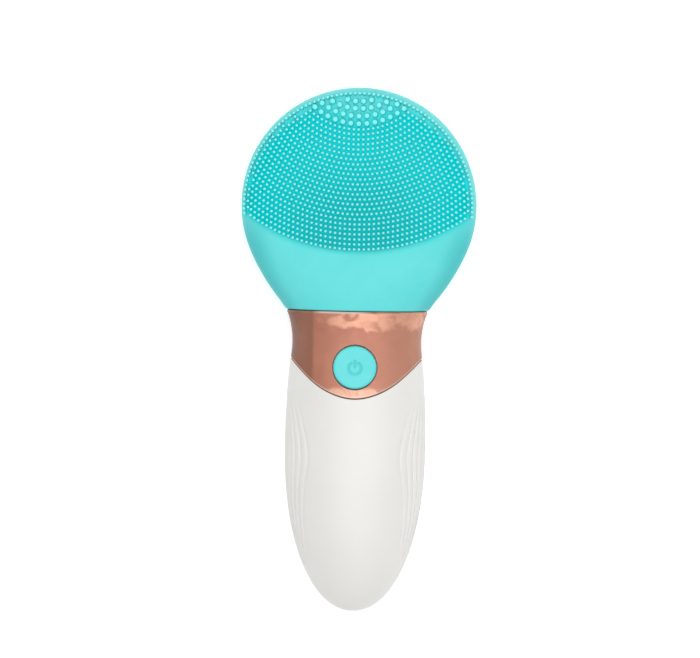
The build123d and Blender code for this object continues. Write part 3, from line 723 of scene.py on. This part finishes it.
def arc_end(radius):
    """The angle at which an arc of fine bristles comes up to the contour row."""
    step = 0.002
    widest = radians(78)
    turn = 0.0
    inside = True
    while inside and turn < widest:
        turn += step
        x, y = arc_point(radius, turn)
        limit = HEAD_RADIUS - contour_inset(atan2(y - HEAD_Y, x)) - CONTOUR_CLEARANCE
        inside = hypot(x, y - HEAD_Y) < limit
    return turn


def fine_tips():
    """Places of the fine bristles' tips, row by row, from the outermost arc inwards."""
    most = 60
    room_for_one_more = 0.72
    tips = []
    for row in range(FINE_ROWS):
        radius = FINE_OUTER - FINE_ROW_PITCH * row
        step = FINE_PITCH / radius
        centred = row >= STAGGERED_ROWS.stop or row in STAGGERED_ROWS and row % 2 == 1
        offset = 0.0 if centred else 0.5
        end = arc_end(radius)
        turns = [(i + offset) * step for i in range(-most, most) if abs(i + offset) * step < end]
        if end - turns[-1] > room_for_one_more * step:
            turns = [-end] + turns + [end]
        tips += [arc_point(radius, turn) for turn in turns]
    return tips


def contour_tips():
    """One row just inside the head's outline, from one lower corner of the field to the other."""
    corner = radians(-4.6)
    radius = HEAD_RADIUS - CONTOUR_SIDE_INSET
    count = ceil((pi - 2 * corner) * radius / CONTOUR_PITCH)
    tips = []
    for i in range(count + 1):
        turn = corner + (pi - 2 * corner) * i / count
        out = HEAD_RADIUS - contour_inset(turn)
        tips.append((out * cos(turn), HEAD_Y + out * sin(turn)))
    return tips


def thick_tips():
    tips = []
    for radius, count in THICK_ROWS:
        for i in range(count):
            turn = (i - (count - 1) / 2) * THICK_PITCH / radius
            tips.append(arc_point(radius, turn))
    return tips


# Bristles from foot to tip, as (height, radius).
FINE_PROFILE = [(-0.45, 0.62), (0.0, 0.52), (0.35, 0.46), (1.40, 0.45), (1.75, 0.445),
                (1.91, 0.39), (1.98, 0.24)]
THICK_PROFILE = [(-0.5, 1.04), (0.0, 0.93), (0.5, 0.87), (2.15, 0.83), (2.43, 0.79),
                 (2.54, 0.66), (2.58, 0.38)]


def bristles(name, tips, profile, length, sides, lean, palest=1.0):
    """Tapered pegs with domed ends, all in one piece.

    Each leans from upright towards the surface's normal by the share lean. Its colour goes from
    painted shade at the foot to painted light at the tip, and palest caps how far.
    """
    points = []
    faces = []
    heights = []
    for x, y in tips:
        normal = front_normal(x, y)
        upright = Vector((0, 0, 1))
        direction = upright.lerp(normal, lean).normalized()
        foot_x = x - direction.x * length
        foot_y = y - direction.y * length
        foot = Vector((foot_x, foot_y, front_height(foot_x, foot_y)))
        across = direction.cross(Vector((0, 1, 0))).normalized()
        along = direction.cross(across)
        first = len(points)
        for height, radius in profile:
            for i in range(sides):
                turn = 2 * pi * i / sides
                offset = across * (radius * cos(turn)) + along * (radius * sin(turn))
                points.append(tuple(foot + direction * height + offset))
                heights.append(min(palest, max(0.0, height / length)))
        points.append(tuple(foot + direction * length))
        heights.append(palest)
        for j in range(len(profile) - 1):
            for i in range(sides):
                k = (i + 1) % sides
                a = first + j * sides
                faces.append((a + i, a + k, a + sides + k, a + sides + i))
        a = first + (len(profile) - 1) * sides
        for i in range(sides):
            faces.append((a + i, a + (i + 1) % sides, a + sides))
        faces.append(tuple(first + i for i in reversed(range(sides))))
    piece = new_piece(name, points, faces, "brush", BRISTLE)
    # The tip share carries the painted shade at the foot and the painted light at the tip.
    float_attribute(piece, "tip", heights)


def head():
    silicone_skin_piece()
    bristles("fine_bristles", fine_tips(), FINE_PROFILE, FINE_LENGTH, 10, lean=0.12)
    bristles("contour_bristles", contour_tips(), FINE_PROFILE, FINE_LENGTH, 10, lean=0.2)
    bristles("thick_bristles", thick_tips(), THICK_PROFILE, THICK_LENGTH, 18, lean=0.1, palest=0.95)


# ---------------------------------------------------------------- collar
COLLAR_TURNS = 360


def button_cutter(flare):
    """The button's well: straight, with a rounded mouth that follows the surface.

    Each level is (how much wider than the hole, height over the surface); None is the well's floor.
    """
    count = 96
    levels = [(0.0, None), (0.0, -1.2)]
    for a in range(0, 91, 15):
        levels.append((flare * (1 - cos(radians(a))), -flare * (1 - sin(radians(a)))))
    levels.append((flare + 0.6, 0.9))
    rows = []
    for widening, over in levels:
        row = []
        for turn in turns_round(count):
            x = (BUTTON_HOLE + widening) * cos(turn)
            y = BUTTON_Y + (BUTTON_HOLE + widening) * sin(turn)
            z = POCKET_FLOOR if over is None else front_height(x, y) + over
            row.append((x, y, z))
        rows.append(row)
    return cutter_from_rows(rows, count)


def collar():
    """The plated ring: a rolled lower edge along the U, and a chamfered lip at the top."""
    turns = turns_round(COLLAR_TURNS)
    edge = [collar_edge_y(t) + SEAM / 2 for t in turns]
    top = COLLAR_TOP_Y - SEAM / 2
    roll = 0.42
    inner_lift = 0.02
    below_chamfer = 0.70
    chamfer = [(0.62, 0.0), (0.54, 0.04), (0.12, 0.40), (0.0, 0.50), (0.0, COLLAR_WALL)]
    rows = [[on_body(t, edge[i] + inner_lift, COLLAR_WALL) for i, t in enumerate(turns)]]
    for a in range(0, 91, 15):
        inset = roll * (1 - sin(radians(a)))
        lift = roll * (1 - cos(radians(a)))
        rows.append([on_body(t, edge[i] + lift, inset) for i, t in enumerate(turns)])
    steps = 60
    for j in range(1, steps):
        share = j / steps
        row = []
        for i, t in enumerate(turns):
            low = edge[i] + roll
            row.append(on_body(t, low + (top - below_chamfer - low) * share))
        rows.append(row)
    for drop, inset in chamfer:
        rows.append([on_body(t, top - drop, inset) for t in turns])
    inner_steps = 24
    for j in range(1, inner_steps):
        share = 1 - j / inner_steps
        row = []
        for i, t in enumerate(turns):
            low = edge[i] + inner_lift
            row.append(on_body(t, low + (top - low) * share, COLLAR_WALL))
        rows.append(row)
    points = [tuple(p) for row in rows for p in row]
    total = len(points)
    faces = strip_faces(rows + rows[:1], COLLAR_TURNS)
    faces = [tuple(index % total for index in face) for face in faces]
    piece = new_piece("collar", points, faces, "brush", MADE["rose_gold"],
                      ["collar_ring"])
    # The lowest rows of the roll take painted seam shade; the rest of the roll and part of the
    # chamfered lip take painted highlights.
    seam_shade_rows = range(0, 4)
    rolled = range(4, 8)
    chamfered = range(8 + steps, 11 + steps)
    painted_highlight = []
    for j, row in enumerate(rows):
        for point in row:
            highlight = 0.55 if j in rolled else 0.0
            if j in chamfered:
                highlight = 0.1 + 0.9 * smoothstep(-13.5, -10, point.x) * smoothstep(5, 0, point.x)
            painted_highlight.append(highlight)
    float_attribute(piece, "painted_highlight", painted_highlight)
    float_attribute(piece, "edge", row_mask(rows, seam_shade_rows))
    cut(piece, button_cutter(0.16))


# ---------------------------------------------------------------- handle
HANDLE_TURNS = 480


def flute_height(turn, y):
    """How high the fluted surface stands over the smooth one: 0, or less in a groove."""
    sharpness = 1.6
    inner_sharpness = 2.2
    inner_side = 0.55  # width of the innermost groove's inner side, in steps between grooves
    from_tip = y - TIP_Y
    side_angle = degrees(abs(asin(max(-1.0, min(1.0, sin(turn))))))
    spread = SPREAD_CURVE(from_tip)
    place = side_angle / spread * FLUTES
    fade = smoothstep(*FLUTE_START, from_tip) * smoothstep(*FLUTE_END, from_tip)
    if place <= FLUTES:
        groove = (1 - abs(sin(pi * place))) ** sharpness
    else:
        groove = max(0.0, 1 - (place - FLUTES) / inner_side) ** inner_sharpness
    shallower = 1 - 0.4 * smoothstep(FLUTES - 1.5, FLUTES - 0.5, place)
    return -FLUTE_DEPTH * fade * groove * shallower


def fluted(turn, y):
    point = on_body(turn, y)
    rise = flute_height(turn, y)
    if rise:
        normal = Vector((cos(turn) / BELLY_RADIUS, 0, sin(turn) / DEPTH)).normalized()
        point += normal * rise
        point.z = max(point.z, -MID_Z)
    return point


def handle():
    """The grip with its flutes, then the neck under the collar, the bore and the inside."""
    turns = turns_round(HANDLE_TURNS)
    edge = [collar_edge_y(t) - SEAM for t in turns]
    rows = [[Vector((0, TIP_Y, 0))]]
    steps = 170
    roll = 0.3
    for j in range(1, steps + 1):  # closer together towards the tip
        share = 1 - cos(pi / 2 * j / steps) if j < steps else 1.0
        share = 0.35 * share + 0.65 * (j / steps) ** 1.25
        rows.append([fluted(t, TIP_Y + (edge[i] - roll - TIP_Y) * share) for i, t in enumerate(turns)])
    for a in range(15, 91, 15):
        lift = roll * sin(radians(a))
        inset = roll * (1 - cos(radians(a)))
        rows.append([on_body(t, edge[i] - roll + lift, inset) for i, t in enumerate(turns)])
    # From here on the rows take painted shade from the seam under the collar.
    seam_shade_rows_from = len(rows) - 3
    rows.append([on_body(t, edge[i], NECK_INSET) for i, t in enumerate(turns)])
    neck_steps = 24
    for j in range(1, neck_steps + 1):
        row = []
        for i, t in enumerate(turns):
            row.append(on_body(t, edge[i] + (NECK_TOP_Y - edge[i]) * j / neck_steps, NECK_INSET))
        rows.append(row)
    for y in (NECK_TOP_Y, BORE_LOW_Y):
        rows.append([Vector((BORE[0] * cos(t), y, BORE[1] * sin(t))) for t in turns])
    inner_low = TIP_Y + HANDLE_WALL
    inner_steps = 40
    for j in range(inner_steps):
        share = cos(pi / 2 * j / inner_steps)
        y = inner_low + (BORE_LOW_Y - inner_low) * share
        rows.append([on_body(t, y, HANDLE_WALL) for t in turns])
    rows.append([Vector((0, inner_low, 0))])
    piece = lathe("grip", rows, HANDLE_TURNS, "brush", MADE["white_shell"],
                  ["handle_shell"])
    float_attribute(piece, "seam_shade", row_mask(rows, range(seam_shade_rows_from, len(rows))))
    cut(piece, button_cutter(0.0))
    cut(piece, stem_cutter())
    cut(piece, pad_cutter())


def stem_cutter():
    """The round hole under the button, which its stem goes through."""
    count = 64
    rows = []
    for z in STEM_CUT:
        row = []
        for turn in turns_round(count):
            row.append((STEM_HOLE * cos(turn), BUTTON_Y + STEM_HOLE * sin(turn), z))
        rows.append(row)
    return cutter_from_rows(rows, count)


def pad_cutter():
    """The stadium-shaped opening for the charging pad, in the back."""
    straight = PAD_LENGTH / 2 - PAD_HALF_WIDTH
    half = 24
    outline = []
    for end in (1, -1):
        for i in range(half + 1):
            turn = pi * i / half
            x = end * PAD_HALF_WIDTH * cos(turn)
            y = CHARGE_Y + end * (straight + PAD_HALF_WIDTH * sin(turn))
            outline.append((x, y))
    rows = [[(x, y, z) for x, y in outline] for z in PAD_CUT]
    return cutter_from_rows(rows, len(outline))


# ---------------------------------------------------------------- button
def symbol_mask(x, y):
    """1 inside the power symbol: a ring open at the top, and a bar through the opening."""
    half_stroke = 0.45
    ring_radius = 1.86
    half_opening = 38  # degrees
    bar_low = 0.42
    bar_high = 2.15
    soft = 0.14
    y += 0.2
    ring = abs(hypot(x, y) - ring_radius) - half_stroke
    if abs(degrees(atan2(x, y))) < half_opening:
        end_x = ring_radius * sin(radians(half_opening))
        end_y = ring_radius * cos(radians(half_opening))
        ring = hypot(abs(x) - end_x, y - end_y) - half_stroke
    bar = hypot(x, y - min(max(y, bar_low), bar_high)) - half_stroke
    return smoothstep(soft, -soft, min(ring, bar))


def button():
    """A dished cap with a rounded rim, a debossed symbol, and a stem underneath."""
    count = 240
    dish_depth = 0.30
    symbol_depth = 0.11
    rows = [[Vector((0, BUTTON_Y, BUTTON_TOP - dish_depth))]]
    marks = [symbol_mask(0, 0)]
    edge = 0.8
    flat = BUTTON_RADIUS - edge
    rings = 84
    for j in range(1, rings + 1):
        radius = flat * j / rings
        row = []
        dish = dish_depth * (1 - smoothstep(0.0, flat, radius))
        for turn in turns_round(count):
            x = radius * cos(turn)
            y = radius * sin(turn)
            mark = symbol_mask(x, y)
            marks.append(mark)
            row.append(Vector((x, BUTTON_Y + y, BUTTON_TOP - dish - symbol_depth * mark)))
        rows.append(row)
    profile = []
    for a in range(12, 91, 13):
        profile.append((flat + edge * sin(radians(a)), BUTTON_TOP - edge * (1 - cos(radians(a)))))
    inside = BUTTON_RADIUS - BUTTON_SKIRT
    fillet = 0.3
    below_edge = 13.0
    profile += [(BUTTON_RADIUS, below_edge), (BUTTON_RADIUS, BUTTON_RIM), (inside, BUTTON_RIM),
                (inside, BUTTON_UNDERSIDE), (STEM_RADIUS + fillet, BUTTON_UNDERSIDE),
                (STEM_RADIUS, BUTTON_UNDERSIDE - fillet), (STEM_RADIUS, STEM_BOTTOM)]
    for radius, z in profile:
        rows.append([Vector((radius * cos(t), BUTTON_Y + radius * sin(t), z))
                     for t in turns_round(count)])
        marks += [0.0] * count
    rows.append([Vector((0, BUTTON_Y, STEM_BOTTOM))])
    marks.append(0.0)
    cap = lathe("button_cap", rows, count, "button", MADE["button_silicone"],
                ["power_button"])
    float_attribute(cap, "symbol", marks)


# ---------------------------------------------------------------- camera, floor and light
def camera():
    """Almost straight above, far away so that there is little perspective."""
    distance = 4.0
    towards_head = radians(2.2)
    towards_right = radians(2.0)
    roll = radians(0.95)
    data = bpy.data.cameras.new("camera")
    seen_width = 0.2139
    data.sensor_width = 36.0
    data.lens = 36.0 * distance / seen_width
    data.clip_end = 20
    made = bpy.data.objects.new("camera", data)
    aim = Vector((-2.14 * MM, 6.2 * MM, MID_Z * MM))
    turned = Euler((-towards_head, towards_right, 0)).to_matrix()
    made.location = aim + turned @ Vector((0, 0, distance))
    made.rotation_euler = (turned @ Matrix.Rotation(roll, 3, "Z")).to_euler()
    bpy.context.scene.collection.objects.link(made)
    bpy.context.scene.camera = made


def floor():
    mesh = bpy.data.meshes.new("floor")
    half = 4.0
    corners = [(-half, -half, 0), (half, -half, 0), (half, half, 0), (-half, half, 0)]
    mesh.from_pydata(corners, [], [(0, 1, 2, 3)])
    made = bpy.data.objects.new("floor", mesh)
    bpy.context.scene.collection.objects.link(made)
    m = Material("floor", (0.93, 0.93, 0.93, 1), 0.9, Specular_IOR_Level=0.1)
    m.shader.inputs["Emission Color"].default_value = (1, 1, 1, 1)
    m.shader.inputs["Emission Strength"].default_value = 0.42
    mesh.materials.append(m.made)


def area_light(name, place, size, power):
    """A rectangular light, facing the origin."""
    data = bpy.data.lights.new(name, "AREA")
    data.shape = "RECTANGLE"
    data.size = size[0]
    data.size_y = size[1]
    data.energy = power
    made = bpy.data.objects.new(name, data)
    made.location = place
    towards_origin = Vector((0, 0, 0)) - Vector(place)
    made.rotation_euler = towards_origin.to_track_quat("-Z", "Y").to_euler()
    bpy.context.scene.collection.objects.link(made)


def lights():
    area_light("key", (0.0, 0.55, 1.25), (1.1, 0.9), 5.0)
    area_light("overhead", (0.1, -0.1, 1.7), (1.6, 1.6), 19.4)
    area_light("side", (1.3, 0.1, 0.7), (1.0, 1.3), 0.4)
    world = bpy.data.worlds.new("world")
    bpy.context.scene.world = world
    world.use_nodes = True
    background = world.node_tree.nodes["Background"]
    background.inputs["Color"].default_value = (1, 1, 1, 1)
    background.inputs["Strength"].default_value = 0.20
    bpy.context.scene.view_settings.view_transform = "Standard"


camera()
floor()
lights()
dress_cad_nodes()
head()
collar()
handle()
button()
